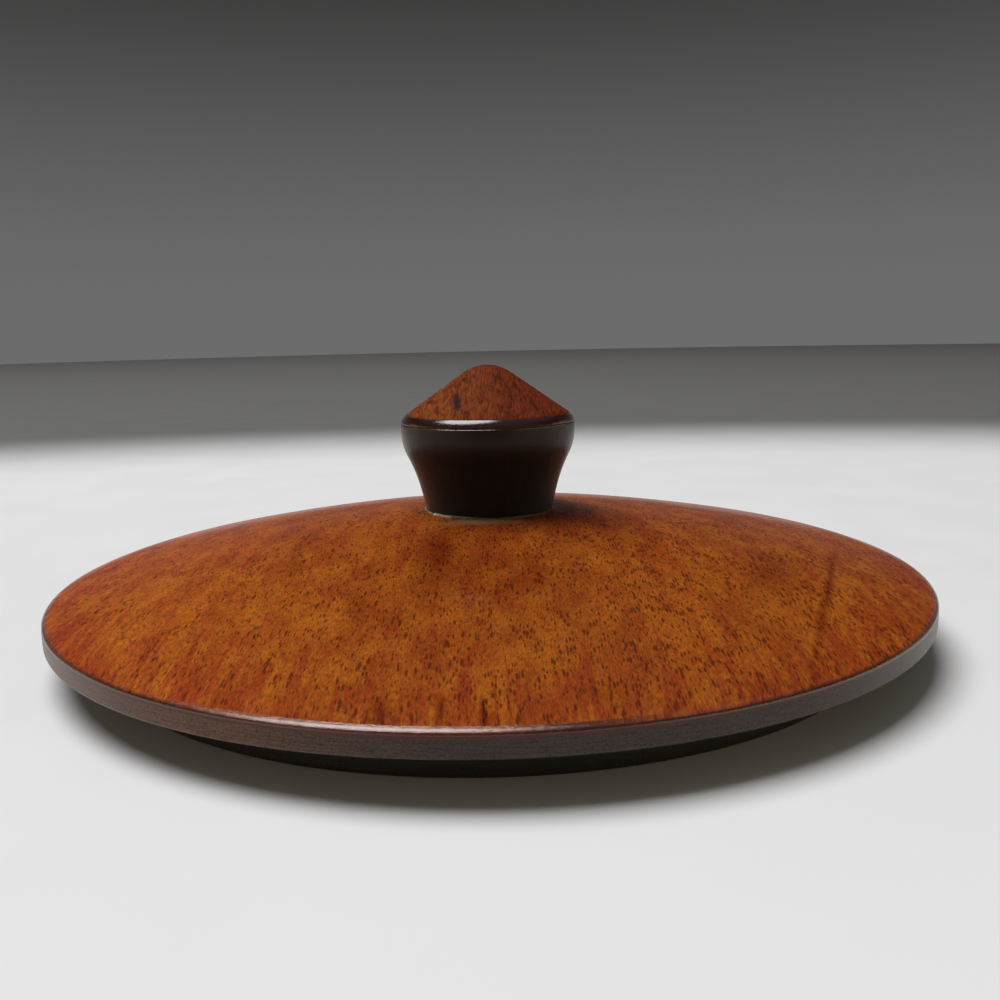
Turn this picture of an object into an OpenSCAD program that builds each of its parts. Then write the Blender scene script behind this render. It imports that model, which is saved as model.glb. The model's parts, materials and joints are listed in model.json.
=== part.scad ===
// Turned wooden lid with a knob, from a round trinket box.
// Millimetres, +Z up. The origin is on the lid's axis, in the plane of the spigot's
// lower face, on which the lid stands when it is off its box.

/* [Lid] */
// Diameter of the lid across its rim
lid_d = 90; // [70:0.5:140]
// Height of the rim's side, from the ledge to the start of the crown
rim_h = 2.3; // [1.5:0.1:6]
// Rise of the crown, from the rim to the lid's axis
crown_rise = 7.15; // [5.5:0.05:12]
// Radius of the crown's curve, seen in section
crown_r = 340; // [200:5:900]
// Radius of the rolled arris at the top of the rim
rim_top_round = 0.6; // [0.2:0.05:1]
// Radius of the softened arris at the foot of the rim
rim_foot_round = 0.3; // [0.1:0.05:0.6]

/* [Spigot] */
// Width of the ledge that rests on the mouth of the box
ledge_w = 5.5; // [2:0.1:10]
// Height of the spigot that drops into the box
spigot_h = 3.9; // [2.5:0.1:10]
// Thickness of the spigot's ring
spigot_wall = 5; // [2:0.1:12]
// Radius of the softened arrises on the spigot's lower edges
spigot_round = 0.4; // [0.1:0.05:0.9]
// How much deeper the hollow is at its middle than at its wall
hollow_dish = 1.1; // [0.3:0.1:1.6]

/* [Knob] */
// Diameter of the knob's foot, where it stands on the lid
foot_d = 13.6; // [11:0.1:17]
// Largest diameter of the knob, at the top of its flared side
band_d = 18.5; // [16:0.1:30]
// Height of the flared side, from the foot to the band
side_h = 8.7; // [6:0.1:14]
// Lean of the side where it leaves the foot, in degrees from upright
foot_lean = 10.5; // [0:0.5:20]
// Share of the side's height over which it keeps the foot's lean
low_pull = 0.72; // [0.3:0.02:0.8]
// Share of the side's height over which it turns upright under the band
top_pull = 0.36; // [0.1:0.02:0.5]
// Height of the band, from the top of the side to the start of the cone
band_h = 1.1; // [0.7:0.05:2]
// Radius of the rolled shoulder between the band and the cone
band_round = 1.4; // [0.2:0.05:2]
// Depth of the fine line cut round the shoulder
line_cut = 0.06; // [0.02:0.01:0.15]
// Share of the shoulder's turn at which the fine line is cut
line_share = 0.22; // [0.1:0.02:0.9]
// Slope of the conical top, in degrees from level
cone_slope = 35; // [20:1:50]
// Radius of the rounded tip
tip_round = 4.4; // [0.5:0.1:6]

/* [Tenon] */
// Diameter of the tenon under the knob
tenon_d = 8; // [5:0.1:10]
// Length of the tenon
tenon_h = 5; // [3:0.1:7]
// Chamfer round the tenon's end
tenon_chamfer = 0.5; // [0.2:0.1:1]
// Room for glue round the tenon
tenon_gap = 0.05; // [0.02:0.01:0.2]
// Room for glue under the tenon's end
tenon_end_gap = 0.5; // [0.2:0.1:1]
// Wood left between the mortise and the hollow
mortise_web = 1.7; // [1:0.1:3]

/* [Glue line] */
// Width of the bead of glue squeezed out round the foot
glue_w = 0.3; // [0.1:0.05:0.6]

/* [Hidden] */
$fn = 144;

// Steps along a small arris, and along the long curves
arris_steps = 6;
curve_steps = 20;

lid_r = lid_d / 2;
spigot_r = lid_r - ledge_w;
hollow_r = spigot_r - spigot_wall;
foot_r = foot_d / 2;
band_r = band_d / 2;
tenon_r = tenon_d / 2;
mortise_r = tenon_r + tenon_gap;

// Points of an arc about a centre, from one angle to another
function arc(centre, r, from, to, steps) =
    [for (i = [0:steps])
        let (a = from + (to - from) * i / steps)
        centre + r * [cos(a), sin(a)]];

// Points of a cubic curve, given its two ends and the two handles between them
function cubic(p, steps) =
    [for (i = [0:steps])
        let (t = i / steps, s = 1 - t)
        s * s * s * p[0] + 3 * s * s * t * p[1] + 3 * s * t * t * p[2] + t * t * t * p[3]];

// The point at a distance from one point towards another
function towards(p, q, distance) = p + distance * (q - p) / norm(q - p);

// The crown's curve is an arc from the rim's corner to the lid's axis
crown_start = [lid_r, spigot_h + rim_h];
crown_end = [0, spigot_h + rim_h + crown_rise];
crown_chord = crown_end - crown_start;
crown_drop = sqrt(crown_r * crown_r - crown_chord * crown_chord / 4);
crown_in = [-crown_chord[1], crown_chord[0]] / norm(crown_chord);
crown_c = (crown_start + crown_end) / 2 + crown_drop * crown_in;

// A flat is cut on the crown for the knob, as wide as its foot
seat_z = crown_c[1] + sqrt(pow(crown_r, 2) - pow(foot_r - crown_c[0], 2));
seat_edge = [foot_r, seat_z];
seat_angle = atan2(seat_z - crown_c[1], foot_r - crown_c[0]);

// The rolled arris touches the rim's side and the crown
roll_r = lid_r - rim_top_round;
roll_z = crown_c[1] + sqrt(pow(crown_r - rim_top_round, 2) - pow(roll_r - crown_c[0], 2));
roll_angle = atan2(roll_z - crown_c[1], roll_r - crown_c[0]);
crown = arc(crown_c, crown_r, roll_angle, seat_angle, curve_steps);

// The hollow's ceiling is dished, and clears the mortise
mortise_z = seat_z - tenon_h - tenon_end_gap;
hollow_z = mortise_z - mortise_web;
dish_r = (hollow_r * hollow_r + hollow_dish * hollow_dish) / (2 * hollow_dish);
dish_angle = acos(hollow_r / dish_r);

// The knob's side leaves the foot at its lean and turns upright under the band
band_z = seat_z + side_h;
knob_side = cubic([
    seat_edge,
    seat_edge + low_pull * side_h * [tan(foot_lean), 1],
    [band_r, band_z - top_pull * side_h],
    [band_r, band_z]
], curve_steps);

// The cone starts where its slope meets the band, and ends in a round tip.
// The shoulder's roll is kept small enough to stay above the side.
cone_z = band_z + band_h;
cone_turn = 90 - cone_slope;
band_roll = min(band_round, 0.98 * band_h / tan(cone_turn / 2));
band_roll_c = [band_r - band_roll, cone_z - band_roll * tan(cone_turn / 2)];
tip_z = cone_z + band_r * tan(cone_slope) - tip_round / cos(cone_slope);

// The fine line is a notch as wide as twice its depth, and stays within the shoulder
line_turn = line_share * cone_turn;
line_half = min(atan(line_cut / band_roll), 0.8 * min(line_turn, cone_turn - line_turn));

module lid() {
    color([0.51, 0.27, 0.10])
    rotate_extrude()
    polygon(concat(
        arc([spigot_r - spigot_round, spigot_round], spigot_round, -90, 0, arris_steps),
        [[spigot_r, spigot_h]],
        arc([lid_r - rim_foot_round, spigot_h + rim_foot_round], rim_foot_round, -90, 0, arris_steps),
        arc([roll_r, roll_z], rim_top_round, 0, roll_angle, arris_steps),
        crown,
        [[mortise_r, seat_z], [mortise_r, mortise_z], [0, mortise_z]],
        arc([0, hollow_z - dish_r], dish_r, 90, dish_angle, curve_steps),
        arc([hollow_r + spigot_round, spigot_round], spigot_round, 180, 270, arris_steps)
    ));
}

module knob() {
    color([0.38, 0.18, 0.09])
    rotate_extrude()
    polygon(concat(
        [
            [0, seat_z - tenon_h],
            [tenon_r - tenon_chamfer, seat_z - tenon_h],
            [tenon_r, seat_z - tenon_h + tenon_chamfer],
            [tenon_r, seat_z]
        ],
        knob_side,
        arc(band_roll_c, band_roll, 0, line_turn - line_half, arris_steps),
        [band_roll_c + (band_roll - line_cut) * [cos(line_turn), sin(line_turn)]],
        arc(band_roll_c, band_roll, line_turn + line_half, cone_turn, arris_steps),
        arc([0, tip_z], tip_round, cone_turn, 90, arris_steps)
    ));
}

// The bead lies in the corner between the knob's side and the crown
module glue_line() {
    color([0.80, 0.76, 0.68])
    rotate_extrude()
    polygon([
        seat_edge,
        towards(seat_edge, crown[curve_steps - 1], glue_w),
        towards(seat_edge, knob_side[1], glue_w)
    ]);
}

lid();
knob();
glue_line();
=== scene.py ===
# %% [markdown]
# # A turned wooden lid
# This lesson dresses the lid of a small round box: a crowned disc of amber wood, a darker
# knob glued into its middle, and the pale bead of glue that squeezed out round the knob's
# foot. The frame holds the true sizes, in metres. Everything that follows is built in that
# frame, so nothing has to be fitted afterwards.

# %% Load the frame
import json
import math
from types import SimpleNamespace

import bmesh
import bpy
from mathutils import Matrix, Vector


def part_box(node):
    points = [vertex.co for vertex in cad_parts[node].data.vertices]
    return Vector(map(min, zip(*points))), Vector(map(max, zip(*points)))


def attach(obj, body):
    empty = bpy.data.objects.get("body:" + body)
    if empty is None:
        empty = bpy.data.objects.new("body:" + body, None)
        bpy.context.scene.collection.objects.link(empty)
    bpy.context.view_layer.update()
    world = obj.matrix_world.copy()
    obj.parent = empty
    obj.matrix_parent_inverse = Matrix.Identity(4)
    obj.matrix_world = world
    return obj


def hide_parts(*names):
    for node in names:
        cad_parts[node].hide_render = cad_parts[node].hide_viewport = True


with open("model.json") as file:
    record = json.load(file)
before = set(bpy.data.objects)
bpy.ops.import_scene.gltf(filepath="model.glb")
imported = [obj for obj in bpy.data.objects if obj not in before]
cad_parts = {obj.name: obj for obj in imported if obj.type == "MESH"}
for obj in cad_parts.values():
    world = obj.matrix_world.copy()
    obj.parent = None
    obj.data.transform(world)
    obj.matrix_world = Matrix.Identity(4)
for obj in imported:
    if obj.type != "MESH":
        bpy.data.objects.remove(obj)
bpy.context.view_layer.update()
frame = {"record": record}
MM = 0.001

for node in ("lid", "knob", "glue_line"):
    low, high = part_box(node)
    print(node, "from", [round(c / MM, 2) for c in low], "to", [round(c / MM, 2) for c in high], "mm")

# %% [markdown]
# ## Helpers for node trees
# A wood is a stack of simple patterns: bands, fibres, pores, stains. Each pattern is one or
# two nodes. They could be linked one socket at a time, but then the wood would drown in
# wiring. A few small functions that add a node and hand back its output keep each step
# readable, in a shader tree and in a Geometry Nodes tree alike.

# %% Add nodes and do sums
def put(tree, kind, **settings):
    """Adds a node and sets its options."""
    made = tree.nodes.new(kind)
    for name, value in settings.items():
        setattr(made, name, value)
    return made


def feed(tree, socket, value):
    """Links a socket to another one, or sets its number."""
    if isinstance(value, bpy.types.NodeSocket):
        tree.links.new(value, socket)
    else:
        socket.default_value = value


def calc(tree, operation, a, b=0.0):
    """One sum, such as a times b."""
    made = put(tree, "ShaderNodeMath", operation=operation)
    feed(tree, made.inputs[0], a)
    feed(tree, made.inputs[1], b)
    return made.outputs[0]


def vector_calc(tree, operation, a, b=None):
    """One sum with vectors. A length or a distance gives a number, the rest a vector."""
    made = put(tree, "ShaderNodeVectorMath", operation=operation)
    feed(tree, made.inputs[0], a)
    if b is not None:
        feed(tree, made.inputs["Scale" if operation == "SCALE" else 1], b)
    return made.outputs["Value" if operation in ("LENGTH", "DISTANCE") else "Vector"]


def split(tree, vector):
    """The X, Y and Z of a vector, by name."""
    made = put(tree, "ShaderNodeSeparateXYZ")
    tree.links.new(vector, made.inputs[0])
    return made.outputs


# %% [markdown]
# Two more helpers do most of the work. A fade turns any number, such as a height or a noise,
# into a soft step. A blend uses such a step to lay one colour over another. A Color Ramp could
# do both at once, but its stops can't be linked or named.

# %% Fade and blend
def fade(tree, value, start, end, low=0.0, high=1.0):
    """Goes smoothly from low to high while a value goes from start to end."""
    made = put(tree, "ShaderNodeMapRange", interpolation_type="SMOOTHSTEP")
    feed(tree, made.inputs["Value"], value)
    for name, number in (("From Min", start), ("From Max", end), ("To Min", low), ("To Max", high)):
        feed(tree, made.inputs[name], number)
    return made.outputs["Result"]


def blend(tree, amount, a, b, kind="MIX"):
    """Mixes two colours."""
    made = put(tree, "ShaderNodeMix", data_type="RGBA", blend_type=kind)
    feed(tree, made.inputs[0], amount)
    feed(tree, made.inputs[6], a)
    feed(tree, made.inputs[7], b)
    return made.outputs[2]


# %% [markdown]
# ## Patterns in solid wood
# A turned piece cuts through its blank at every slant, and the grain on its top, its rim and
# its underside has to agree where they meet. A flat pattern on a UV map would break there.
# These patterns fill space instead. They read Object coordinates in millimetres, turned so
# that the grain runs along Y: level in the lid's blank, upright in the knob's. A pattern's
# size is given across the grain, along it and through the blank.

# %% Space and noise
def grain_space(tree, turn=(0.0, 0.0, 0.0)):
    """Object coordinates in millimetres, with the grain along Y."""
    lay = put(tree, "ShaderNodeMapping")
    lay.inputs["Rotation"].default_value = turn
    lay.inputs["Scale"].default_value = (1 / MM, 1 / MM, 1 / MM)
    tree.links.new(put(tree, "ShaderNodeTexCoord").outputs["Object"], lay.inputs["Vector"])
    return lay.outputs["Vector"]


def stretch(tree, vector, size):
    """Divides space into cells of a size, in millimetres."""
    return vector_calc(tree, "DIVIDE", vector, size)


def cloud(tree, vector, size, detail=2.0, rough=0.5, output=0):
    """Soft noise whose blots have a size, in millimetres."""
    made = put(tree, "ShaderNodeTexNoise")
    made.inputs["Scale"].default_value = 1.0
    made.inputs["Detail"].default_value = detail
    made.inputs["Roughness"].default_value = rough
    tree.links.new(stretch(tree, vector, size), made.inputs["Vector"])
    return made.outputs[output]


def waver(tree, vector, size, reach):
    """Shifts space about by up to a reach, so that straight grain wanders."""
    drift = cloud(tree, vector, size, detail=1.0, output="Color")
    moved = put(tree, "ShaderNodeVectorMath", operation="MULTIPLY_ADD")
    tree.links.new(vector_calc(tree, "SUBTRACT", drift, (0.5, 0.5, 0.5)), moved.inputs[0])
    moved.inputs[1].default_value = reach
    tree.links.new(vector, moved.inputs[2])
    return moved.outputs[0]


# %% [markdown]
# Pores are cut vessels, and show as short dashes along the grain. Thousands of tiny meshes
# would be heavy, and noise alone gives blots. A Voronoi pattern has one centre in each
# stretched cell, so a threshold on the distance from it makes one dash, and the cell's own
# random colour makes it longer, shorter or missing. A stain is simpler: a soft oval.

# %% Pores and stains
def pores(tree, vector, cell, least, most, crowd=1.0, soft=0.05, space="3D"):
    """Dashes, one to a cell: least and most are shares of the cell, and crowd scales them."""
    cells = put(tree, "ShaderNodeTexVoronoi", voronoi_dimensions=space)
    cells.inputs["Scale"].default_value = 1.0
    tree.links.new(stretch(tree, vector, cell), cells.inputs["Vector"])
    chance = put(tree, "ShaderNodeSeparateColor")
    tree.links.new(cells.outputs["Color"], chance.inputs[0])
    reach = fade(tree, chance.outputs[0], 0.0, 1.0, least, most)
    inside = calc(tree, "SUBTRACT", calc(tree, "MULTIPLY", reach, crowd), cells.outputs["Distance"])
    return fade(tree, inside, 0.0, soft)


def spot(tree, vector, centre, half_size, lean=0.0):
    """A soft oval: 1 at its centre and 0 at its edge. Its lean is about Z, in degrees."""
    place = put(tree, "ShaderNodeMapping", vector_type="TEXTURE")
    place.inputs["Location"].default_value = centre
    place.inputs["Rotation"].default_value = (0.0, 0.0, math.radians(lean))
    place.inputs["Scale"].default_value = half_size
    tree.links.new(vector, place.inputs["Vector"])
    ball = put(tree, "ShaderNodeTexGradient", gradient_type="SPHERICAL")
    tree.links.new(place.outputs["Vector"], ball.inputs["Vector"])
    return ball.outputs["Fac"]


# %% [markdown]
# Each finish is one Principled shader. Patterns drive its colour and its roughness, and what
# is the same all over the surface is set on the shader's own socket. Scuffs and open fibres
# are only hundredths of a millimetre deep. Real dents of that size would need millions of
# faces, so they are bump.

# %% Dress a surface
def new_material(name):
    """An empty material with its Principled shader."""
    made = bpy.data.materials.new(name)
    made.use_nodes = True
    return made, made.node_tree, made.node_tree.nodes["Principled BSDF"]


def set_finish(tree, shader, colour, roughness, constants):
    """Links the patterns to the shader, and sets what is the same all over."""
    tree.links.new(colour, shader.inputs["Base Color"])
    tree.links.new(roughness, shader.inputs["Roughness"])
    for name, value in constants.items():
        shader.inputs[name].default_value = value


def dents(tree, shader, height, depth):
    """Lets a pattern of heights catch the light, as deep as a depth in millimetres."""
    bump = put(tree, "ShaderNodeBump")
    bump.inputs["Strength"].default_value = 1.0
    bump.inputs["Distance"].default_value = depth * MM
    tree.links.new(height, bump.inputs["Height"])
    for layer in ("Normal", "Coat Normal"):
        tree.links.new(bump.outputs["Normal"], shader.inputs[layer])


# %% [markdown]
# ## The lid's wood
# The lid is amber, with golden patches where the light goes in, russet flakes, and red streaks
# along the grain, which crowd near the edge. A Wave Texture could draw growth rings, but this
# blank shows hardly any. So its ground is noise of several sizes, stretched along the grain,
# from broad bands down to fibres of a tenth of a millimetre.

# %% The lid's ground
GOLD = (0.345, 0.095, 0.0095, 1)
AMBER = (0.275, 0.060, 0.0085, 1)
RUSSET = (0.150, 0.027, 0.009, 1)
FLAME = (0.23, 0.032, 0.009, 1)


def lid_ground(tree, vector, from_centre):
    """The colour of the plain wood, and its mottle."""
    mottle = cloud(tree, vector, (2.8, 6.5, 5.0), detail=4.0, rough=0.62)
    colour = blend(tree, fade(tree, mottle, 0.38, 0.62), AMBER, GOLD)
    flakes = cloud(tree, vector, (0.8, 2.0, 2.0), detail=4.0, rough=0.65)
    colour = blend(tree, fade(tree, flakes, 0.47, 0.70, 0.0, 0.40), colour, RUSSET)
    near_edge = fade(tree, from_centre, 36.0, 45.0, 0.0, 0.16)
    streaks = cloud(tree, vector, (0.7, 7.0, 3.0), detail=3.0, rough=0.6)
    streaks = fade(tree, calc(tree, "ADD", streaks, near_edge), 0.54, 0.74, 0.0, 0.7)
    colour = blend(tree, streaks, colour, FLAME)
    bands = cloud(tree, vector, (8.0, 40.0, 14.0))
    colour = blend(tree, fade(tree, bands, 0.45, 0.70, 0.0, 0.2), colour, RUSSET)
    fibre = cloud(tree, vector, (0.14, 0.5, 0.4), detail=3.0)
    colour = blend(tree, 1.0, colour, fade(tree, fibre, 0.25, 0.75, 0.70, 1.30), "MULTIPLY")
    return colour, mottle


# %% [markdown]
# Dark open pores lie on that ground as short, ragged dashes, most of them under 0.2 mm wide.
# They come in two sizes and in clusters, and a darker haze lies round each cluster. The pattern
# could fill space like the rest, but the crown would then cut its cells at odd heights, into
# dots of every size. So the pores read only X and Y, and go straight through the blank.

# %% The lid's pores
PORE = (0.085, 0.016, 0.006, 1)
HAZE = (0.90, 0.80, 0.84, 1)
PORE_STRENGTH = 0.84


def with_pores(tree, colour, vector, x):
    """Lays the haze and the pores over a colour."""
    clusters = cloud(tree, vector, (2.4, 4.2, 6.0), detail=3.0, rough=0.6)
    colour = blend(tree, fade(tree, clusters, 0.46, 0.68), colour, HAZE, "MULTIPLY")
    crowd = fade(tree, clusters, 0.34, 0.64, 0.7, 1.25)
    close = calc(tree, "MULTIPLY", crowd, fade(tree, x, -20.0, 20.0, 0.85, 1.1))
    torn = waver(tree, vector, (0.15, 0.4, 1.0), (0.16, 0.45, 0.0))
    long_pores = pores(tree, torn, (0.60, 2.7, 1.0), -0.02, 0.24, crowd, soft=0.15, space="2D")
    short_pores = pores(tree, torn, (0.27, 1.1, 1.0), -0.14, 0.43, close, soft=0.22, space="2D")
    blots = cloud(tree, torn, (0.7, 1.3, 1.0), detail=4.0, rough=0.65)
    holes = calc(tree, "MAXIMUM", long_pores, short_pores)
    holes = calc(tree, "MAXIMUM", holes, fade(tree, blots, 0.59, 0.72, 0.0, 0.8))
    return blend(tree, calc(tree, "MULTIPLY", holes, PORE_STRENGTH), colour, PORE)


# %% [markdown]
# Most marks are this blank's own: a few dark lines and stains along the grain. Three are not:
# the broad dark patch in front of the knob and the small one at its foot are a painted
# reflection of the knob, and the patch to its right is its painted shadow. All of them could
# be drawn in an image, but an image has a fixed sharpness. Each mark is a soft oval, so tall
# that it goes through the blank, and a noise makes its outline ragged.

# %% The lid's marks, with the knob's painted shadow and reflection
# The colour of the stains, and of the knob's painted shadow and reflection
STAIN_AND_SHADE = (0.45, 0.27, 0.32, 1)
MOST_STAIN_AND_SHADE = 0.9
TOP_HEIGHT = 10.0
THROUGH = 1000.0

# Each dark mark: its centre, half width, half length, lean from the grain and depth
MARKS_AND_KNOB_SHADE = (
    ((-4.8, -16.0), 2.6, 12.0, -3.0, 0.7),
    # Painted reflection of the knob: a broad dark patch in front of it
    ((-0.5, -20.0), 13.0, 17.0, 0.0, 0.55),
    # Painted shadow of the knob, to its right
    ((10.5, -5.0), 7.5, 12.0, 10.0, 1.0),
    # Painted reflection of the knob, at the front of its foot
    ((0.0, -9.5), 9.0, 5.5, 0.0, 0.35),
    ((30.2, -20.0), 0.6, 26.0, -21.3, 1.0),
    ((26.4, -16.0), 3.6, 10.0, -24.0, 0.4),
    ((-18.3, -15.0), 1.0, 9.0, 8.0, 0.4),
    ((-11.2, -28.0), 1.2, 9.0, 9.0, 0.5),
    ((-7.8, -42.8), 1.3, 2.6, 0.0, 0.8),
    ((-3.6, -42.6), 0.40, 2.4, 0.0, 1.0),
    ((-0.8, -43.6), 0.45, 2.6, 0.0, 1.2),
)


def with_marks_and_knob_shade(tree, colour, ragged):
    """Darkens a colour with the blank's own marks, and with the knob's painted shadow and reflection.
    """
    marks = 0.0
    for centre, half_width, half_length, lean, depth in MARKS_AND_KNOB_SHADE:
        mark = spot(tree, ragged, (*centre, TOP_HEIGHT), (half_width, half_length, THROUGH), lean)
        marks = calc(tree, "ADD", marks, calc(tree, "MULTIPLY", mark, depth))
    return blend(tree, calc(tree, "MINIMUM", marks, MOST_STAIN_AND_SHADE), colour, STAIN_AND_SHADE, "MULTIPLY")


# %% [markdown]
# The whole figure puts these together. One side of the blank is lighter: that is painted light
# and sheen from the lamp at the left. Its back is a little redder: that is a painted reflection
# of a red wall behind it. A dark line runs round the top at both sides, and a film of glue was
# wiped in front of the knob. The figure hands back its patterns too, because the finishes need them.

# %% The lid's figure
# Painted light and sheen from the lamp at the left
LEFT_PAINTED_LIGHT = (1.28, 1.30, 1.7, 1)
# Painted reflection of a red wall behind the lid
BACK_PAINTED_REFLECTION = (1.0, 0.86, 0.90, 1)
MAROON_EDGE = (0.030, 0.007, 0.005, 1)
SMEAR = (0.24, 0.15, 0.08, 1)


def lid_figure(tree):
    """The lid's wood before any finish, with painted light at its left, a painted reflection at its
    back, and the knob's painted shadow and reflection.
    """
    straight = grain_space(tree)
    place = split(tree, straight)
    from_centre = vector_calc(tree, "LENGTH", straight)
    vector = waver(tree, straight, (9.0, 30.0, 9.0), (1.8, 1.2, 0.0))
    colour, mottle = lid_ground(tree, vector, from_centre)
    colour = with_pores(tree, colour, vector, place["X"])
    ragged = waver(tree, straight, (4.0, 16.0, 6.0), (0.8, 1.0, 0.0))
    colour = with_marks_and_knob_shade(tree, colour, ragged)

    # The left side is lighter: painted light and sheen
    colour = blend(tree, fade(tree, place["X"], -6.0, -42.0), colour, LEFT_PAINTED_LIGHT, "MULTIPLY")
    # The back is redder: painted reflection of a red wall
    colour = blend(tree, fade(tree, place["Y"], -20.0, 12.0), colour, BACK_PAINTED_REFLECTION, "MULTIPLY")
    beside = fade(tree, calc(tree, "ABSOLUTE", place["X"]), 8.0, 26.0, 0.0, 0.8)
    dark_line = calc(tree, "MULTIPLY", beside, fade(tree, from_centre, 45.0, 45.3))
    colour = blend(tree, dark_line, colour, MAROON_EDGE)
    smear = spot(tree, ragged, (-0.5, -7.4, TOP_HEIGHT), (6.0, 1.6, THROUGH))
    colour = blend(tree, fade(tree, smear, 0.0, 0.9, 0.0, 0.8), colour, SMEAR)
    return SimpleNamespace(
        straight=straight, place=place, colour=colour, mottle=mottle, dark_line=dark_line
    )


# %% [markdown]
# ## The lid's finishes
# The same figure gets three finishes: one for the top, one for the edge and one for the rim and
# all that lies below it. One material with masks could hold all three, but three short ones are
# easier to read. Where one ends and the next begins, the colour fades by height, so no line
# shows. The top is thinly waxed: the wood under it is dull, and a weak, smooth coat is the wax.

# %% The waxed top
def lid_top_wood():
    """The crown."""
    made, tree, shader = new_material("lid_top_wood")
    figure = lid_figure(tree)
    roughness = fade(tree, figure.mottle, 0.3, 0.7, 0.45, 0.55)
    wax = {
        "Specular IOR Level": 0.0,
        "Coat Weight": 0.40,
        "Coat IOR": 1.3,
        "Coat Roughness": 0.14,
    }
    set_finish(tree, shader, figure.colour, roughness, wax)
    return made


# %% [markdown]
# The edge is polished by hands, and its polish is scuffed, so the highlight along it breaks up.
# At the front it is rubbed to a plain brown on the left. From the front to the right it is dark.
# At both sides the figured wood runs on over the edge. The low roll is dark red all the way
# round. Each pair of heights says where one colour gives way to the next.

# %% The rubbed edge
EDGE_WOOD = (0.20, 0.052, 0.018, 1)
RED_EDGE = (0.078, 0.015, 0.010, 1)
FRONT_SHIFT = 5.0
FRONT_HALF = (20.0, 9.0)
RUBBED_BELOW = (6.18, 6.06)
MAROON_BELOW = (5.93, 5.82)


def scuffs(tree, vector):
    """Fine, uneven wear on a polished edge."""
    return cloud(tree, vector, (0.5, 0.5, 0.15), detail=4.0, rough=0.75)


def lid_edge_wood():
    """The bevel and the roll between the crown and the rim."""
    made, tree, shader = new_material("lid_edge_wood")
    figure = lid_figure(tree)
    x = figure.place["X"]
    z = figure.place["Z"]
    dark = calc(tree, "MAXIMUM", figure.dark_line, fade(tree, x, -1.0, 7.0, 0.0, 0.85))
    from_front = calc(tree, "ABSOLUTE", calc(tree, "ADD", x, FRONT_SHIFT))
    at_front = fade(tree, from_front, *FRONT_HALF)
    rubbed = calc(tree, "MULTIPLY", at_front, fade(tree, z, *RUBBED_BELOW))
    plain = blend(tree, dark, EDGE_WOOD, MAROON_EDGE)
    colour = blend(tree, rubbed, figure.colour, plain)
    low_roll = blend(tree, dark, RED_EDGE, MAROON_EDGE)
    colour = blend(tree, fade(tree, z, *MAROON_BELOW), colour, low_roll)
    wear = scuffs(tree, figure.straight)
    roughness = fade(tree, wear, 0.44, 0.66, 0.08, 0.30)
    set_finish(tree, shader, colour, roughness, {"Specular IOR Level": 0.75})
    dents(tree, shader, wear, 0.03)
    return made


# %% [markdown]
# The rim took the finish dark, since end grain drinks more of it. Fine tool lines run round
# the rim, and a thin grey film dulls it in specks. Towards the left the rim is lighter and
# browner: that is painted light from the lamp at the left. Below the ledge the spigot is a
# near-black grey: that is painted shade, the dark of the shadow under the rim. Inside the
# spigot the wood is bare. The distance from the axis tells the inside from the outside.

# %% The dark rim
DARK_RIM = (0.014, 0.008, 0.006, 1)
GREY_RIM = (0.064, 0.039, 0.028, 1)
RIM_LEFT_PAINTED_LIGHT = (2.6, 1.9, 1.15, 1)
SPIGOT_PAINTED_SHADE = (0.018, 0.016, 0.014, 1)
UNDERSIDE = (0.55, 0.50, 0.60, 1)
RED_ABOVE = (5.36, 5.60)
SPIGOT_BELOW = (3.95, 3.88)
INSIDE_WITHIN = (39.3, 38.9)
TOOL_LINE_SHARE = 0.35


def lid_rim_wood():
    """The rim, the spigot and the underside."""
    made, tree, shader = new_material("lid_rim_wood")
    figure = lid_figure(tree)
    z = figure.place["Z"]
    specks = cloud(tree, figure.straight, (0.16, 0.16, 0.11), detail=3.0, rough=0.7)
    tool_lines = cloud(tree, figure.straight, (2.6, 2.6, 0.13), detail=3.0, rough=0.6)
    film = blend(tree, TOOL_LINE_SHARE, specks, tool_lines)
    colour = blend(tree, fade(tree, film, 0.38, 0.64), DARK_RIM, GREY_RIM)
    # Towards the left the rim is lighter and browner: painted light from the lamp
    at_left = fade(tree, figure.place["X"], 0.0, -24.0)
    colour = blend(tree, at_left, colour, RIM_LEFT_PAINTED_LIGHT, "MULTIPLY")
    colour = blend(tree, fade(tree, z, *RED_ABOVE), colour, RED_EDGE)
    # Below the ledge the spigot goes near-black: painted shade under the rim
    colour = blend(tree, fade(tree, z, *SPIGOT_BELOW), colour, SPIGOT_PAINTED_SHADE)
    flat = vector_calc(tree, "MULTIPLY", figure.straight, (1.0, 1.0, 0.0))
    from_axis = vector_calc(tree, "LENGTH", flat)
    bare = blend(tree, 1.0, figure.colour, UNDERSIDE, "MULTIPLY")
    colour = blend(tree, fade(tree, from_axis, *INSIDE_WITHIN), colour, bare)
    roughness = fade(tree, film, 0.35, 0.65, 0.24, 0.42)
    set_finish(tree, shader, colour, roughness, {"Specular IOR Level": 0.3})
    dents(tree, shader, specks, 0.012)
    return made


lid_finishes = (lid_top_wood(), lid_edge_wood(), lid_rim_wood())
print("lid finishes:", [(made.name, len(made.node_tree.nodes)) for made in lid_finishes])

# %% [markdown]
# ## The knob's wood
# The knob is a redder, darker stick of the same kind of wood, more orange on one side. Its
# grain stands upright, so the conical top cuts the fibres across and shows them as flecks and
# short streaks. The same helpers make it: only the space is turned on end and the sizes are
# smaller. One dark knot on the cone is this stick's own.

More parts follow.
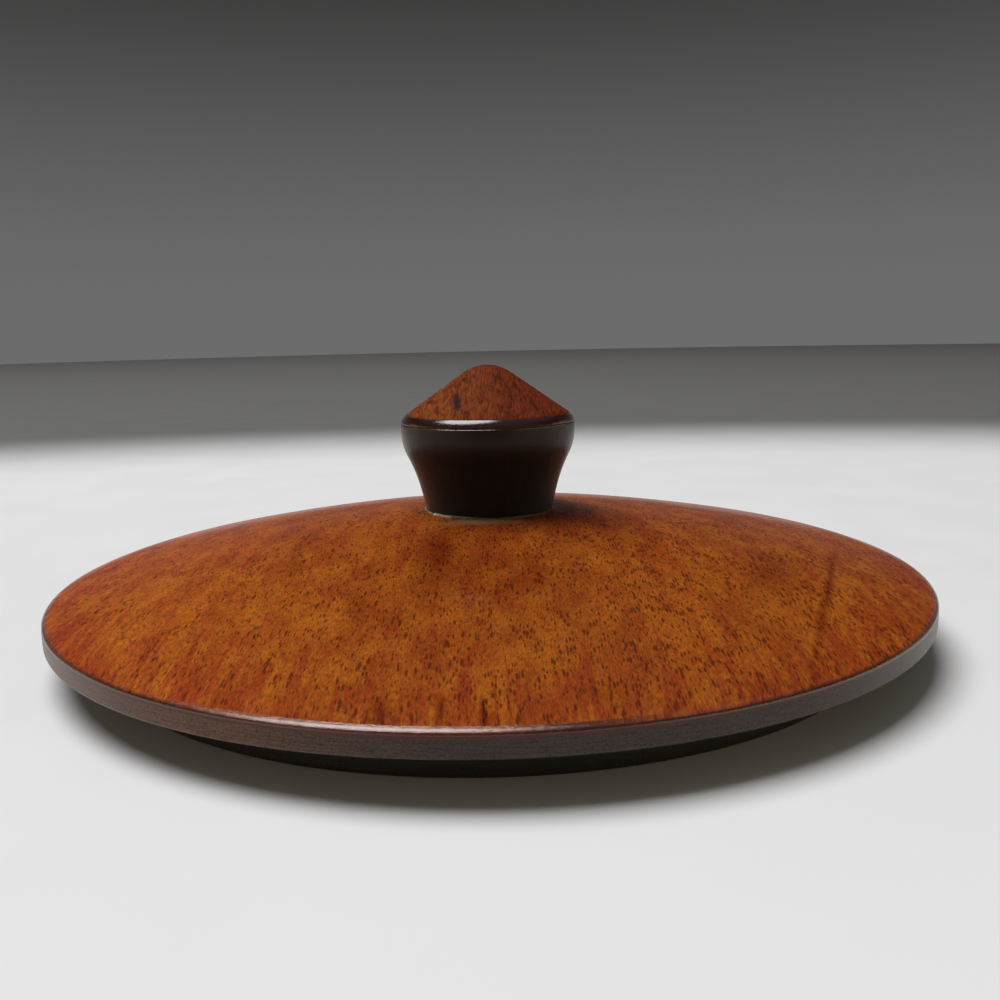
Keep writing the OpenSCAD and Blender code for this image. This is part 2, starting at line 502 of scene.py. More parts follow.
# %% The knob's figure
ORANGE_BROWN = (0.180, 0.044, 0.008, 1)
RED_BROWN = (0.128, 0.021, 0.006, 1)
DEEP_RED = (0.060, 0.010, 0.004, 1)
FLECK = (0.020, 0.006, 0.004, 1)
BLUE_BLACK = (0.014, 0.011, 0.013, 1)
UPRIGHT = (-math.pi / 2, 0.0, 0.0)
KNOT_AT = (-3.1, -5.7, 24.5)
KNOT_HALF = (0.58, 2.4, 2.0)


def knob_figure(tree):
    """The knob's wood before any finish."""
    level = grain_space(tree)
    vector = waver(tree, grain_space(tree, UPRIGHT), (2.5, 8.0, 2.5), (0.9, 0.8, 0.9))
    to_right = fade(tree, split(tree, level)["X"], -6.0, 4.0)
    colour = blend(tree, to_right, ORANGE_BROWN, RED_BROWN)
    patches = cloud(tree, vector, (0.9, 1.8, 1.8), detail=4.0, rough=0.65)
    colour = blend(tree, fade(tree, patches, 0.46, 0.68, 0.0, 0.85), colour, DEEP_RED)
    fibres = cloud(tree, vector, (0.18, 0.9, 1.1), detail=3.0, rough=0.6)
    colour = blend(tree, 1.0, colour, fade(tree, fibres, 0.30, 0.70, 0.55, 1.5), "MULTIPLY")

    flecks = pores(tree, vector, (0.40, 1.8, 0.9), 0.0, 0.26, soft=0.16)
    colour = blend(tree, calc(tree, "MULTIPLY", flecks, 0.55), colour, FLECK)
    ragged = waver(tree, level, (0.5, 0.9, 0.9), (0.6, 0.6, 0.6))
    knot = spot(tree, ragged, KNOT_AT, KNOT_HALF)
    colour = blend(tree, fade(tree, knot, 0.0, 0.8, 0.0, 0.92), colour, BLUE_BLACK)
    return SimpleNamespace(level=level, colour=colour, fibres=fibres, flecks=flecks)


# %% [markdown]
# The knob has three finishes as well. The cone is bare and dull, with open fibres. The rolled
# shoulder and the fine line cut round it are polished, dark and scuffed. Both turn maroon at
# the same height, so the colour runs on from one to the other.

# %% The cone and the shoulder
MAROON_BAND = (0.024, 0.0070, 0.0055, 1)
BAND_BELOW = (23.05, 22.78)


def banded(tree, figure):
    """The knob's colour, turning maroon towards the band."""
    height = split(tree, figure.level)["Z"]
    return blend(tree, fade(tree, height, *BAND_BELOW), figure.colour, MAROON_BAND)


def knob_cone_wood():
    """The conical top."""
    made, tree, shader = new_material("knob_cone_wood")
    figure = knob_figure(tree)
    roughness = fade(tree, figure.fibres, 0.3, 0.7, 0.70, 0.85)
    set_finish(tree, shader, banded(tree, figure), roughness, {"Specular IOR Level": 0.06})
    dents(tree, shader, calc(tree, "SUBTRACT", figure.fibres, figure.flecks), 0.03)
    return made


def knob_shoulder_wood():
    """The roll from the cone down to the cut line."""
    made, tree, shader = new_material("knob_shoulder_wood")
    figure = knob_figure(tree)
    wear = scuffs(tree, figure.level)
    roughness = fade(tree, wear, 0.42, 0.72, 0.10, 0.30)
    set_finish(tree, shader, banded(tree, figure), roughness, {"Specular IOR Level": 0.8})
    dents(tree, shader, wear, 0.012)
    return made


# %% [markdown]
# The band and the flared side are almost black, and a little warmer high up. So dark a surface
# shows hardly any colour of its own: what is seen is its polish, which mirrors the table at a
# low angle. A soft coat gives that, and a touch of sheen the handled look at its outline.

# %% The dark side
DARK_SIDE = (0.0014, 0.0030, 0.0030, 1)
BROWN_SIDE = (0.0060, 0.0045, 0.0035, 1)
WARM_SIDE = (0.014, 0.0052, 0.0030, 1)
WARM_ABOVE = (18.6, 20.6)


def knob_side_wood():
    """The band, the flared side and the tenon."""
    made, tree, shader = new_material("knob_side_wood")
    vector = grain_space(tree, UPRIGHT)
    streaks = cloud(tree, vector, (0.7, 6.0, 0.7), detail=3.0, rough=0.6)
    colour = blend(tree, fade(tree, streaks, 0.42, 0.68), DARK_SIDE, BROWN_SIDE)
    height = split(tree, grain_space(tree))["Z"]
    colour = blend(tree, fade(tree, height, *WARM_ABOVE), colour, WARM_SIDE)
    polish = {
        "Specular IOR Level": 0.12,
        "Coat Weight": 0.75,
        "Coat IOR": 1.27,
        "Coat Roughness": 0.27,
        "Sheen Weight": 0.15,
        "Sheen Roughness": 0.35,
        "Sheen Tint": (1.0, 0.82, 0.70, 1),
    }
    set_finish(tree, shader, colour, fade(tree, streaks, 0.3, 0.7, 0.55, 0.65), polish)
    dents(tree, shader, cloud(tree, vector, (1.0, 1.6, 1.0), detail=4.0), 0.04)
    return made


knob_finishes = (knob_cone_wood(), knob_shoulder_wood(), knob_side_wood())
print("knob finishes:", [(made.name, len(made.node_tree.nodes)) for made in knob_finishes])

# %% [markdown]
# ## The glue
# Dried glue is pale and a little dirty. It is whitest where it is thick, at the left of the
# front, with a few pale specks, which also stand in for glints of light on it: partly painted
# highlights. It is brown where it was wiped. Real glue lets light through, but this bead is too
# thin for that to show, so a plain surface with a pattern of dirt will do.

# %% Dried glue
PALE_GLUE = (0.36, 0.27, 0.20, 1)
DIRTY_GLUE = (0.060, 0.038, 0.020, 1)
SPECK_AND_PAINTED_GLINT = (0.85, 0.82, 0.78, 1)


def dried_glue():
    """The bead's finish."""
    made, tree, shader = new_material("dried_glue")
    vector = grain_space(tree)
    dirt = cloud(tree, vector, (1.4, 1.4, 0.8), detail=3.0, rough=0.6)
    wiped = fade(tree, split(tree, vector)["X"], -6.0, 0.5, 0.14, -0.12)
    clean = fade(tree, calc(tree, "ADD", dirt, wiped), 0.46, 0.68)
    colour = blend(tree, clean, DIRTY_GLUE, PALE_GLUE)
    # Pale specks, partly painted glints, crowd where the glue is cleanest
    specks = pores(tree, vector, (0.9, 0.9, 0.9), 0.0, 0.34, clean, soft=0.1)
    colour = blend(tree, specks, colour, SPECK_AND_PAINTED_GLINT)
    set_finish(tree, shader, colour, fade(tree, dirt, 0.3, 0.7, 0.4, 0.2), {})
    dents(tree, shader, dirt, 0.02)
    return made


glue_finish = dried_glue()
print("glue finish:", glue_finish.name, len(glue_finish.node_tree.nodes))

# %% [markdown]
# ## A lathe in Geometry Nodes
# A lathe makes a shape by a rule: one outline, turned about an axis. The Screw modifier could
# do it too, but a small tree shows the rule itself and lays on the finishes as well. First,
# one helper starts a tree with named inputs, and one passes a geometry through a node.

# %% Start a tree
def new_tree(name, inputs, output):
    """A Geometry Nodes tree, and the sockets of its named inputs."""
    tree = bpy.data.node_groups.new(name, "GeometryNodeTree")
    for title, kind in inputs:
        tree.interface.new_socket(title, in_out="INPUT", socket_type="NodeSocket" + kind)
    tree.interface.new_socket(output, in_out="OUTPUT", socket_type="NodeSocketGeometry")
    return tree, put(tree, "NodeGroupInput").outputs


def through(tree, kind, geometry, inputs, **settings):
    """Passes a geometry through a node, whose other inputs are given by name."""
    made = put(tree, kind, **settings)
    tree.links.new(geometry, made.inputs[0])
    for name, value in inputs.items():
        feed(tree, made.inputs[name], value)
    return made.outputs[0]


# %% [markdown]
# The tree lays out a grid with one row for each point of the outline and one column for each
# step round. A grid point's index gives its row and its column. The row picks the outline's
# radius and height, and the column gives the angle. Points that meet at the seam and on the
# axis are merged, so the shape is closed.

# %% The turned grid
SAME_PLACE = 0.001 * MM


def turned_place(tree, outline, steps, columns):
    """Where each point of the grid goes."""
    index = put(tree, "GeometryNodeInputIndex").outputs[0]
    row = calc(tree, "FLOOR", calc(tree, "DIVIDE", calc(tree, "ADD", index, 0.5), columns))
    column = calc(tree, "SUBTRACT", index, calc(tree, "MULTIPLY", row, columns))
    angle = calc(tree, "DIVIDE", calc(tree, "MULTIPLY", column, 2 * math.pi), steps)
    point = put(tree, "GeometryNodeSampleIndex", data_type="FLOAT_VECTOR", domain="POINT")
    tree.links.new(outline, point.inputs["Geometry"])
    tree.links.new(put(tree, "GeometryNodeInputPosition").outputs[0], point.inputs["Value"])
    tree.links.new(row, point.inputs["Index"])
    sample = split(tree, point.outputs[0])
    place = put(tree, "ShaderNodeCombineXYZ")
    for axis, wave in (("X", "COSINE"), ("Y", "SINE")):
        swing = calc(tree, "MULTIPLY", sample["X"], calc(tree, wave, angle))
        tree.links.new(swing, place.inputs[axis])
    tree.links.new(sample["Z"], place.inputs["Z"])
    return place.outputs[0]


def turned_grid(tree, outline, steps):
    """The closed shape that the outline sweeps."""
    count = put(tree, "GeometryNodeAttributeDomainSize", component="MESH")
    tree.links.new(outline, count.inputs[0])
    columns = calc(tree, "ADD", steps, 1.0)
    grid = put(tree, "GeometryNodeMeshGrid")
    tree.links.new(count.outputs["Point Count"], grid.inputs["Vertices X"])
    tree.links.new(columns, grid.inputs["Vertices Y"])
    place = turned_place(tree, outline, steps, columns)
    moved = through(tree, "GeometryNodeSetPosition", grid.outputs["Mesh"], {"Position": place})
    return through(tree, "GeometryNodeMergeByDistance", moved, {"Distance": SAME_PLACE})


# %% [markdown]
# A turned surface is smooth along its curves and sharp where two cuts meet. So every face is
# shaded smooth, and every edge that bends more than a given angle stays sharp. The finishes go
# on last, by height: the side's over everything, then the edge's and the top's over what lies
# above their own heights.

# %% The lathe
def creased(tree, geometry, sharp_angle):
    """Smooth shading, with a crease at each sharp edge."""
    smooth = through(tree, "GeometryNodeSetShadeSmooth", geometry, {}, domain="FACE")
    bend = put(tree, "GeometryNodeInputMeshEdgeAngle").outputs["Unsigned Angle"]
    gentle = {"Shade Smooth": calc(tree, "LESS_THAN", bend, sharp_angle)}
    return through(tree, "GeometryNodeSetShadeSmooth", smooth, gentle, domain="EDGE")


def lathe_tree():
    """The whole lathe."""
    inputs = (
        ("Outline", "Geometry"),
        ("Steps round", "Int"),
        ("Sharp angle", "Float"),
        ("Top finish", "Material"),
        ("Edge finish", "Material"),
        ("Side finish", "Material"),
        ("Top above", "Float"),
        ("Edge above", "Float"),
    )
    tree, given = new_tree("lathe", inputs, "Turned")
    turned = turned_grid(tree, given["Outline"], given["Steps round"])
    shaded = creased(tree, turned, given["Sharp angle"])
    real = through(tree, "GeometryNodeRealizeInstances", shaded, {})
    coated = through(tree, "GeometryNodeSetMaterial", real, {"Material": given["Side finish"]})
    height = split(tree, put(tree, "GeometryNodeInputPosition").outputs[0])["Z"]
    for part in ("Edge", "Top"):
        over = calc(tree, "GREATER_THAN", height, given[part + " above"])
        choice = {"Selection": over, "Material": given[part + " finish"]}
        coated = through(tree, "GeometryNodeSetMaterial", coated, choice)
    tree.links.new(coated, put(tree, "NodeGroupOutput").inputs[0])
    return tree


LATHE = lathe_tree()
print("the lathe has", len(LATHE.nodes), "nodes")

# %% [markdown]
# The tree runs as a modifier on a mesh that holds only the outline's points. The modifier could
# stay live, but a plain mesh is what the other tools expect. So the evaluated result is copied
# to a new mesh, its faces are turned outwards, and the outline is thrown away.

# %% Turn a piece
SHARP_ANGLE = 30.0


def apply_tree(name, tree, mesh, values):
    """Runs a tree on a mesh and gives the result back as a plain piece at the origin."""
    holder = bpy.data.objects.new(name + "_holder", mesh)
    bpy.context.scene.collection.objects.link(holder)
    modifier = holder.modifiers.new("tree", "NODES")
    modifier.node_group = tree
    for item in tree.interface.items_tree:
        if item.name in values:
            modifier[item.identifier] = values[item.name]
    evaluated = holder.evaluated_get(bpy.context.evaluated_depsgraph_get())
    result = bpy.data.meshes.new_from_object(evaluated)
    bpy.data.objects.remove(holder)
    shape = bmesh.new()
    shape.from_mesh(result)
    bmesh.ops.recalc_face_normals(shape, faces=shape.faces)
    shape.to_mesh(result)
    shape.free()
    result.name = name
    piece = bpy.data.objects.new(name, result)
    bpy.context.scene.collection.objects.link(piece)
    return piece


def turn(name, outline, steps_round, finishes, top_above, edge_above):
    """Turns an outline of (radius, height) points, in millimetres, in its three finishes."""
    points = bpy.data.meshes.new(name + "_outline")
    points.from_pydata([(r * MM, 0.0, z * MM) for r, z in outline], [], [])
    sizes = {
        "Steps round": steps_round,
        "Sharp angle": math.radians(SHARP_ANGLE),
        "Top finish": finishes[0],
        "Edge finish": finishes[1],
        "Side finish": finishes[2],
        "Top above": top_above * MM,
        "Edge above": edge_above * MM,
    }
    piece = apply_tree(name, LATHE, points, sizes)
    print(name, "has", len(outline), "outline points and", len(piece.data.polygons), "faces")
    return piece


# %% [markdown]
# ## Outlines
# A turner cuts arcs and easy curves, so the outlines are made of the same: arcs about a
# centre, one cubic curve, and straight runs. A Bezier curve object could hold them, but plain
# points keep the sizes exact.

# %% Arcs and curves
ARRIS_STEPS = 14
CURVE_STEPS = 48


def arc(centre, radius, start, end, steps):
    """Points of an arc, with its angles in degrees."""
    angles = [math.radians(start + (end - start) * i / steps) for i in range(steps + 1)]
    return [(centre[0] + radius * math.cos(a), centre[1] + radius * math.sin(a)) for a in angles]


def cubic(ends, steps):
    """Points of a cubic curve, from its two ends and the two handles between them."""
    points = []
    for i in range(steps + 1):
        t = i / steps
        s = 1 - t
        weights = (s * s * s, 3 * s * s * t, 3 * s * t * t, t * t * t)
        points.append(tuple(sum(w * p[k] for w, p in zip(weights, ends)) for k in (0, 1)))
    return points


# %% [markdown]
# A straight run needs only its two ends, but smooth shading would then bend the light all
# across it. So a run gets extra points near its ends, and stays flat between them.

# %% Straight runs
LONG_GAP = 0.2
SAME_POINT = 0.002


def run(start, end, inset=0.05):
    """Inner points of a straight run, near its ends and in its middle."""
    length = math.dist(start, end)
    shares = (inset / length, 0.5, 1 - inset / length)
    return [tuple(a + (b - a) * s for a, b in zip(start, end)) for s in shares]


def joined(*stretches):
    """One outline from its stretches, with runs between them and no point twice."""
    points = list(stretches[0])
    for following in stretches[1:]:
        if math.dist(points[-1], following[0]) > LONG_GAP:
            points += run(points[-1], following[0])
        points += [p for p in following if math.dist(p, points[-1]) > SAME_POINT]
    return points


# %% [markdown]
# ## The lid
# The lid is one turned blank: a crown, a rim, a ledge and a spigot, hollow underneath. It could
# be modelled from a disc with insets and bevels, but its outline says it all. The overall
# sizes come from the frame, and the rest are the turner's own. The crown is an arc of large
# radius from the rim's corner to the axis, neither a cone nor a ball.

# %% The lid's sizes
lid_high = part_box("lid")[1]
knob_low, knob_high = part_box("knob")
mounts = {mount["name"]: mount for mount in frame["record"]["mounts"]}

lid_r = lid_high.x / MM
seat_z = lid_high.z / MM
spigot_r = mounts["spigot"]["dims"]["r_mm"]
spigot_h = mounts["ledge"]["pos_m"][2] / MM
rim_h = 2.3
rim_foot_round = 0.3
crown_rise = 7.15
crown_r = 340.0
foot_r = 6.8

crown_start = Vector((lid_r, spigot_h + rim_h))
crown_end = Vector((0.0, spigot_h + rim_h + crown_rise))
chord = crown_end - crown_start
drop = math.sqrt(crown_r**2 - chord.length_squared / 4)
crown_c = (crown_start + crown_end) / 2 + drop * Vector((-chord.y, chord.x)) / chord.length
seat_angle = math.degrees(math.atan2(seat_z - crown_c.y, foot_r - crown_c.x))
print("the lid is", round(2 * lid_r, 2), "mm across")

# %% [markdown]
# The crown doesn't run straight into the rim. Over its last 3 mm it softens into a narrow bevel,
# which catches the light, with a small roll below it. A Bevel modifier would make one even
# round. Three arcs make the real edge, and each starts in the direction in which the last one
# ends. The small corner and the bevel have set radii. The radius of the soft arc is worked out,
# so that it leaves the crown without a kink and the corner ends on the rim.

# %% The soft edge
# How far in from the rim the crown starts to soften
soft_in = 3.2
# How far up the edge faces, in degrees, where the soft arc becomes the bevel, and that the corner
soft_low = 68.0
bevel_low = 45.0
bevel_r = 0.8
corner_r = 0.32


def away_from(angle):
    """The direction in the outline's plane at an angle, in degrees."""
    return Vector((math.cos(math.radians(angle)), math.sin(math.radians(angle))))


soft_start = Vector((lid_r - soft_in, 0.0))
soft_start.y = crown_c.y + math.sqrt(crown_r**2 - (soft_start.x - crown_c.x) ** 2)
soft_high = math.degrees(math.atan2(soft_start.y - crown_c.y, soft_start.x - crown_c.x))
corner_turn = corner_r * (away_from(bevel_low) - away_from(0))
bevel_turn = bevel_r * (away_from(soft_low) - away_from(bevel_low))
soft_turn = away_from(soft_high) - away_from(soft_low)
soft_r = (soft_start.x - lid_r - (corner_turn + bevel_turn).x) / soft_turn.x
soft_c = soft_start - soft_r * away_from(soft_high)
bevel_c = soft_c + (soft_r - bevel_r) * away_from(soft_low)
corner_c = bevel_c + (bevel_r - corner_r) * away_from(bevel_low)
print("the soft edge's radius is", round(soft_r, 2), "mm, its corner is at", round(corner_c.y, 2), "mm")

# %% [markdown]
# Underneath, the spigot is a ring, and the hollow inside it has a dished ceiling. The outline
# starts on the axis under that ceiling, goes down the spigot's inner wall, under its foot, up
# to the ledge, round the rim, over the soft edge and along the crown to the flat seat under
# the knob, and ends in the mortise.

# %% Turn the lid
LID_STEPS = 288
spigot_wall = 5.0
spigot_round = 0.4
hollow_dish = 1.1
mortise_r = 4.05
mortise_web = 1.7
tenon_end_gap = 0.5

mortise_z = knob_low.z / MM - tenon_end_gap
hollow_z = mortise_z - mortise_web
hollow_r = spigot_r - spigot_wall
dish_r = (hollow_r**2 + hollow_dish**2) / (2 * hollow_dish)
dish_angle = math.degrees(math.acos(hollow_r / dish_r))

lid_outline = joined(
    arc((0.0, hollow_z - dish_r), dish_r, 90, dish_angle, CURVE_STEPS),
    arc((hollow_r + spigot_round, spigot_round), spigot_round, 180, 270, ARRIS_STEPS),
    arc((spigot_r - spigot_round, spigot_round), spigot_round, -90, 0, ARRIS_STEPS),
    [(spigot_r, spigot_h)],
    arc((lid_r - rim_foot_round, spigot_h + rim_foot_round), rim_foot_round, -90, 0, ARRIS_STEPS),
    arc(corner_c, corner_r, 0, bevel_low, ARRIS_STEPS),
    arc(bevel_c, bevel_r, bevel_low, soft_low, ARRIS_STEPS),
    arc(soft_c, soft_r, soft_low, soft_high, ARRIS_STEPS),
    arc(crown_c, crown_r, soft_high, seat_angle, CURVE_STEPS),
    [(mortise_r, seat_z)],
    [(mortise_r, mortise_z)],
    [(0.0, mortise_z)],
)
# The top's finish starts one degree into the soft arc, and the edge's at the corner's foot
top_begins = soft_c.y + soft_r * away_from(soft_low + 1).y
edge_begins = corner_c.y
lid = turn("turned_lid", lid_outline, LID_STEPS, lid_finishes, top_begins, edge_begins)

# %% [markdown]
# ## The knob
# The knob flares from its foot in a long S and turns upright under a narrow band. A rolled
# shoulder leads from the band into a cone with a rounded tip. Two arcs could stand for the
# side, but they would meet in a kink, so it is one cubic curve that leaves the foot at a lean.

# %% The knob's side
band_r = knob_high.x / MM
side_h = 8.7
foot_lean = 10.5
low_pull = 0.72
top_pull = 0.36

band_z = seat_z + side_h
lean_out = low_pull * side_h * math.tan(math.radians(foot_lean))
side = cubic(
    (
        (foot_r, seat_z),
        (foot_r + lean_out, seat_z + low_pull * side_h),
        (band_r, band_z - top_pull * side_h),
        (band_r, band_z),
    ),
    CURVE_STEPS,
)
print("the knob's side ends at", round(band_z, 2), "mm")

# %% [markdown]
# A fine line is cut round the shoulder, and shows as a scratchy thread of light. Bump could
# fake it, but a real notch also shows in the outline. The notch is one point set in between
# the two halves of the shoulder's arc. The tenon goes down into the mortise.

# %% Turn the knob
KNOB_STEPS = 192
band_h = 1.1
band_round = 1.4
cone_slope = 35.0
tip_round = 4.4
tenon_r = 4.0
tenon_chamfer = 0.5
# The cut line's depth, half its width as a multiple of that, and its place along the shoulder
line_cut = 0.06
line_spread = 1.3
line_share = 0.22
# How far below the cut line the polish starts
polish_below = 0.01

tip_top = knob_high.z / MM
tenon_end = knob_low.z / MM
cone_turn = 90 - cone_slope
band_roll_z = band_z + band_h - band_round * math.tan(math.radians(cone_turn / 2))
band_roll_c = (band_r - band_round, band_roll_z)
line_turn = line_share * cone_turn
line_half = math.degrees(line_spread * line_cut / band_round)

knob_outline = joined(
    [(0.0, tenon_end)],
    [(tenon_r - tenon_chamfer, tenon_end)],
    [(tenon_r, tenon_end + tenon_chamfer)],
    [(tenon_r, seat_z)],
    side,
    arc(band_roll_c, band_round, 0, line_turn - line_half, ARRIS_STEPS),
    arc(band_roll_c, band_round - line_cut, line_turn, line_turn, 1),
    arc(band_roll_c, band_round, line_turn + line_half, cone_turn, ARRIS_STEPS),
    arc((0.0, tip_top - tip_round), tip_round, cone_turn, 90, ARRIS_STEPS),
)
cone_begins = band_roll_z + band_round * math.sin(math.radians(cone_turn))
line_begins = band_roll_z + band_round * math.sin(math.radians(line_turn - line_half)) - polish_below
knob = turn("turned_knob", knob_outline, KNOB_STEPS, knob_finishes, cone_begins, line_begins)

# %% [markdown]
# ## The bead of glue
# Glue squeezed out of a joint lies in the corner as a thin, uneven bead, broken where it was
# wiped. A torus with a Displace modifier could make it, but its lumps would lift out of the
# corner. This tree takes a ring of small round sections, finds the point of the corner that
# each section lies round, and scales the section about it by a noise with a seed of its own.

# %% The bead's tree
def bead_tree():
    """Swells and shrinks a ring along its corner."""
    inputs = (
        ("Ring", "Geometry"),
        ("Corner radius", "Float"),
        ("Corner height", "Float"),
        ("Least", "Float"),
        ("Most", "Float"),
        ("Wiped to", "Float"),
        ("Lump size", "Float"),
        ("Seed", "Float"),
        ("Finish", "Material"),
    )
    tree, given = new_tree("glue_bead", inputs, "Bead")
    radius = given["Corner radius"]
    position = put(tree, "GeometryNodeInputPosition").outputs[0]
    flat = vector_calc(tree, "MULTIPLY", position, (1.0, 1.0, 0.0))
    out = vector_calc(tree, "SCALE", vector_calc(tree, "NORMALIZE", flat), radius)
    lift = put(tree, "ShaderNodeCombineXYZ")
    tree.links.new(given["Corner height"], lift.inputs["Z"])
    corner = vector_calc(tree, "ADD", out, lift.outputs[0])

    lumps = put(tree, "ShaderNodeTexNoise", noise_dimensions="4D")
    lumps.inputs["Detail"].default_value = 2.0
    tree.links.new(corner, lumps.inputs["Vector"])
    tree.links.new(given["Seed"], lumps.inputs["W"])
    tree.links.new(calc(tree, "DIVIDE", 1.0, given["Lump size"]), lumps.inputs["Scale"])
    swell = fade(tree, lumps.outputs[0], 0.36, 0.64, given["Least"], given["Most"])
    thick_until = calc(tree, "MULTIPLY", radius, -0.6)
    wiped = fade(tree, split(tree, corner)["X"], thick_until, radius, 1.0, given["Wiped to"])
    swell = calc(tree, "MULTIPLY", swell, wiped)

    away = vector_calc(tree, "SUBTRACT", position, corner)
    place = vector_calc(tree, "ADD", corner, vector_calc(tree, "SCALE", away, swell))
    moved = through(tree, "GeometryNodeSetPosition", given["Ring"], {"Position": place})
    smooth = through(tree, "GeometryNodeSetShadeSmooth", moved, {}, domain="FACE")
    real = through(tree, "GeometryNodeRealizeInstances", smooth, {})
    coated = through(tree, "GeometryNodeSetMaterial", real, {"Material": given["Finish"]})
    tree.links.new(coated, put(tree, "NodeGroupOutput").inputs[0])
    return tree


# %% [markdown]
# The ring comes from the lathe: a small circle, turned about the axis at the knob's foot.
# The part of it that lies inside the two woods is hidden, so only the bead's face shows.

# %% Squeeze out the bead
BEAD_STEPS = 320
BEAD_SIDES = 10
bead_w = 0.3

bead_section = arc((foot_r, seat_z), bead_w, 0, 360, BEAD_SIDES)
plain_ring = turn("plain_ring", bead_section, BEAD_STEPS, (glue_finish,) * 3, seat_z, seat_z)
bead_sizes = {
    "Corner radius": foot_r * MM,
    "Corner height": seat_z * MM,
    "Least": 0.25,
    "Most": 0.8,
    "Wiped to": 0.3,
    "Lump size": 2.6 * MM,
    "Seed": 3.0,
    "Finish": glue_finish,
}
bead = apply_tree("glue_bead", bead_tree(), plain_ring.data, bead_sizes)
bpy.data.objects.remove(plain_ring)
print("the bead has", len(bead.data.polygons), "faces")

# %% [markdown]
# ## Onto the frame
# Each new piece rides on the frame's only body and stands for the plain solid that it covers.
# The plain solids could be recoloured instead, but they lack the soft edge and the uneven bead.

# %% Ride and replace
for piece, node, slot in (
    (lid, "lid", "lid_wood"),
    (knob, "knob", "knob_wood"),
    (bead, "glue_line", "dried_glue"),
):
    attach(piece, "root")
    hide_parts(node)
    print(piece.name, "stands for", node, "in", slot)

# %% [markdown]
# ## Floor
# A pale, nearly matt table top gives the lid its contact shadow, and shows as a grey sheen in
# the rim and in the knob's side. A pale floor without end would shine too much in both, so only
# a wide oval round the lid is pale. Far off, it fades to the grey of the room. On the viewer's
# side that fade is a painted shadow of the viewer, and it darkens what the rim and the knob's
# side mirror.

# %% Pale floor
FLOOR_R = 1.2
FLOOR_PALE = (0.80, 0.80, 0.815, 1)
FLOOR_FAR_AND_VIEWER_SHADOW = (0.15, 0.15, 0.15, 1)
# The pale oval: its half size in millimetres, its centre in half sizes, and where it fades
POOL_HALF = (210.0, 115.0, 115.0)
POOL_CENTRE = (0.0, 0.20, 0.0)
POOL_FADES = (0.95, 1.8)


def pale_floor():
    """The floor's finish."""
    made, tree, shader = new_material("pale_floor")
    space = grain_space(tree)
    away = vector_calc(tree, "DISTANCE", stretch(tree, space, POOL_HALF), POOL_CENTRE)
    # Grey outside the pale oval: far off, and in front as a painted shadow of the viewer
    colour = blend(tree, fade(tree, away, *POOL_FADES), FLOOR_PALE, FLOOR_FAR_AND_VIEWER_SHADOW)
    unevenness = cloud(tree, space, (14.0, 14.0, 14.0), detail=4.0)
    roughness = fade(tree, unevenness, 0.3, 0.7, 0.5, 0.6)
    set_finish(tree, shader, colour, roughness, {"Specular IOR Level": 0.2})
    return made


floor_shape = bmesh.new()
bmesh.ops.create_circle(floor_shape, cap_ends=True, radius=FLOOR_R, segments=96)
floor_mesh = bpy.data.meshes.new("floor")
floor_shape.to_mesh(floor_mesh)
floor_shape.free()
floor_mesh.materials.append(pale_floor())
floor = bpy.data.objects.new("floor", floor_mesh)
bpy.context.scene.collection.objects.link(floor)
print("the floor is", 2 * FLOOR_R, "m across")

# %% [markdown]
# ## Light
# One large soft lamp hangs overhead, a little to the left, and draws the highlight along the
# soft edge. Several small lamps could do it too, but each would leave its own spot there.

# %% Lamp
LAMP_TOWARDS = Vector((-0.28, 0.02, 0.96)).normalized()
LAMP_AWAY = 1.5
LAMP_SIZE = 1.1
LAMP_POWER = 23.0

lamp_data = bpy.data.lights.new("soft_lamp", "AREA")
lamp_data.shape = "DISK"
lamp_data.size = LAMP_SIZE
lamp_data.energy = LAMP_POWER
lamp = bpy.data.objects.new("soft_lamp", lamp_data)
lamp.location = LAMP_TOWARDS * LAMP_AWAY
lamp.rotation_euler = LAMP_TOWARDS.to_track_quat("Z", "Y").to_euler()
bpy.context.scene.collection.objects.link(lamp)
print("the lamp hangs at", [round(c, 2) for c in lamp.location], "m")

# %% [markdown]
# The world is a grey room. One even grey would be simpler, but a waxed top seen at a low angle
# mirrors whatever stands behind it. So the room is dark at the back, high above the table, a
# little lighter behind the viewer, which fills the shadow under the rim, and bright low down at
# both sides, which draws the ends of the rim and the knob's outline.

# %% World
BACK_LOW = (0.15, 0.15, 0.15, 1)
BACK_HIGH = (0.020, 0.018, 0.017, 1)
VIEWER = (0.10, 0.085, 0.065, 1)
LEFT_WALL = (1.40, 1.20, 0.80, 1)
RIGHT_WALL = (1.80, 1.55, 1.05, 1)
CEILING = (0.12, 0.12, 0.12, 1)

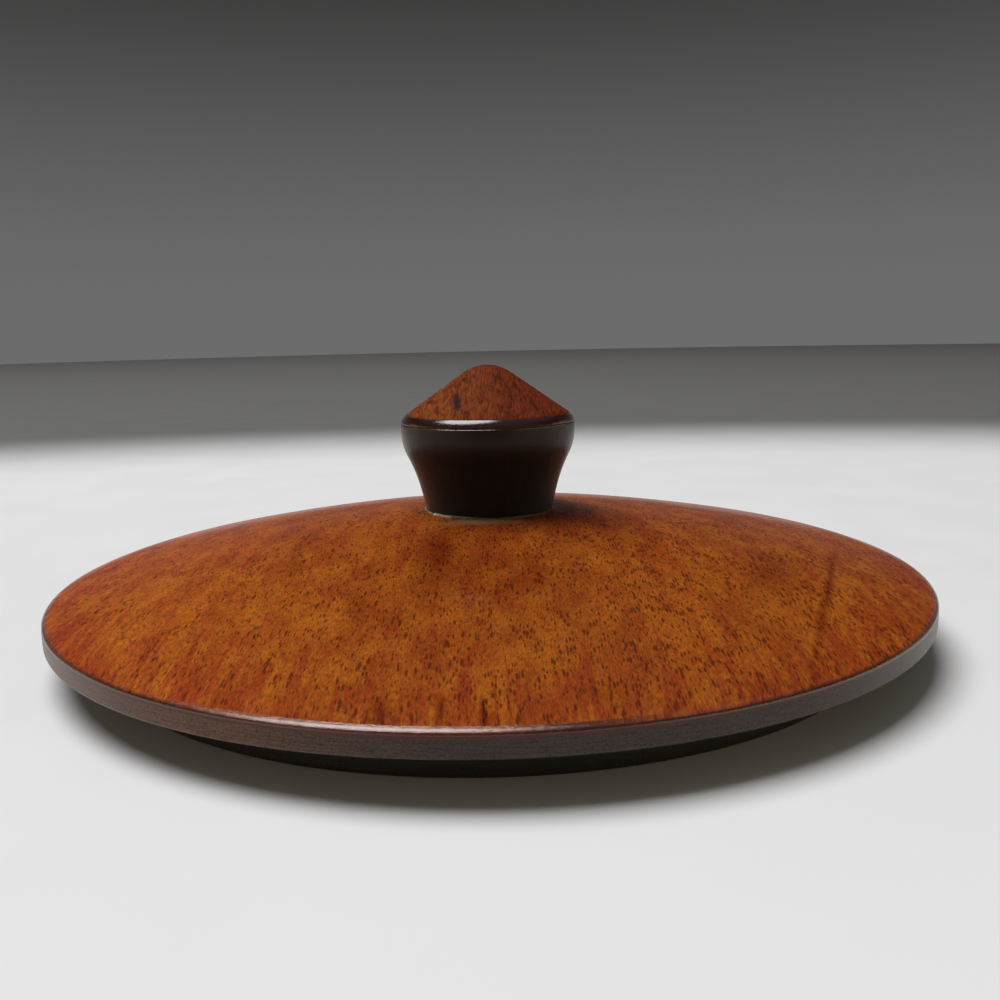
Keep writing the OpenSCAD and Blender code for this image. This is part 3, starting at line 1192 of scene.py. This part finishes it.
world = bpy.data.worlds.new("grey_room")
bpy.context.scene.world = world
world.use_nodes = True
sky = world.node_tree
direction = split(sky, put(sky, "ShaderNodeTexCoord").outputs["Generated"])
back_wall = blend(sky, fade(sky, direction["Z"], 0.0, 0.42), BACK_LOW, BACK_HIGH)
walls = blend(sky, fade(sky, direction["Y"], 0.1, -0.5), back_wall, VIEWER)
low_down = fade(sky, direction["Z"], 0.36, 0.12)
at_sides = calc(sky, "MULTIPLY", low_down, fade(sky, direction["Y"], 0.7, 0.3))
for wall, start, end in ((LEFT_WALL, -0.35, -0.75), (RIGHT_WALL, 0.35, 0.75)):
    amount = calc(sky, "MULTIPLY", at_sides, fade(sky, direction["X"], start, end))
    walls = blend(sky, amount, walls, wall)
room = blend(sky, fade(sky, direction["Z"], 0.5, 0.9), walls, CEILING)
sky.links.new(room, sky.nodes["Background"].inputs["Color"])

bpy.context.scene.view_settings.view_transform = "Standard"
print("the room has", len(sky.nodes), "nodes")

# %% [markdown]
# ## Camera
# The camera stands close, a little above the lid's top, and looks slightly down. It was held
# by hand, so it has a small turn and a small roll. A Track To constraint could aim it, but it
# can't roll, so the camera's three axes are worked out and set.

# %% Camera
CAMERA_AT = Vector((0.0, -0.1066, 0.0320))
YAW = 0.0107
PITCH = 0.1726
ROLL = 0.0210
LENS = 36.0
SENSOR = 36.0
NEAREST = 0.005

ahead = Vector((math.sin(YAW) * math.cos(PITCH), math.cos(YAW) * math.cos(PITCH), -math.sin(PITCH)))
level_right = ahead.cross(Vector((0, 0, 1))).normalized()
level_down = ahead.cross(level_right)
right = math.cos(ROLL) * level_right + math.sin(ROLL) * level_down
down = math.cos(ROLL) * level_down - math.sin(ROLL) * level_right

camera_data = bpy.data.cameras.new("camera")
camera_data.sensor_width = SENSOR
camera_data.lens = LENS
camera_data.clip_start = NEAREST
camera = bpy.data.objects.new("camera", camera_data)
axes = Matrix((right, -down, -ahead)).transposed().to_4x4()
camera.matrix_world = Matrix.Translation(CAMERA_AT) @ axes
bpy.context.scene.collection.objects.link(camera)
bpy.context.scene.camera = camera
print("the camera looks", round(math.degrees(PITCH), 1), "degrees down")
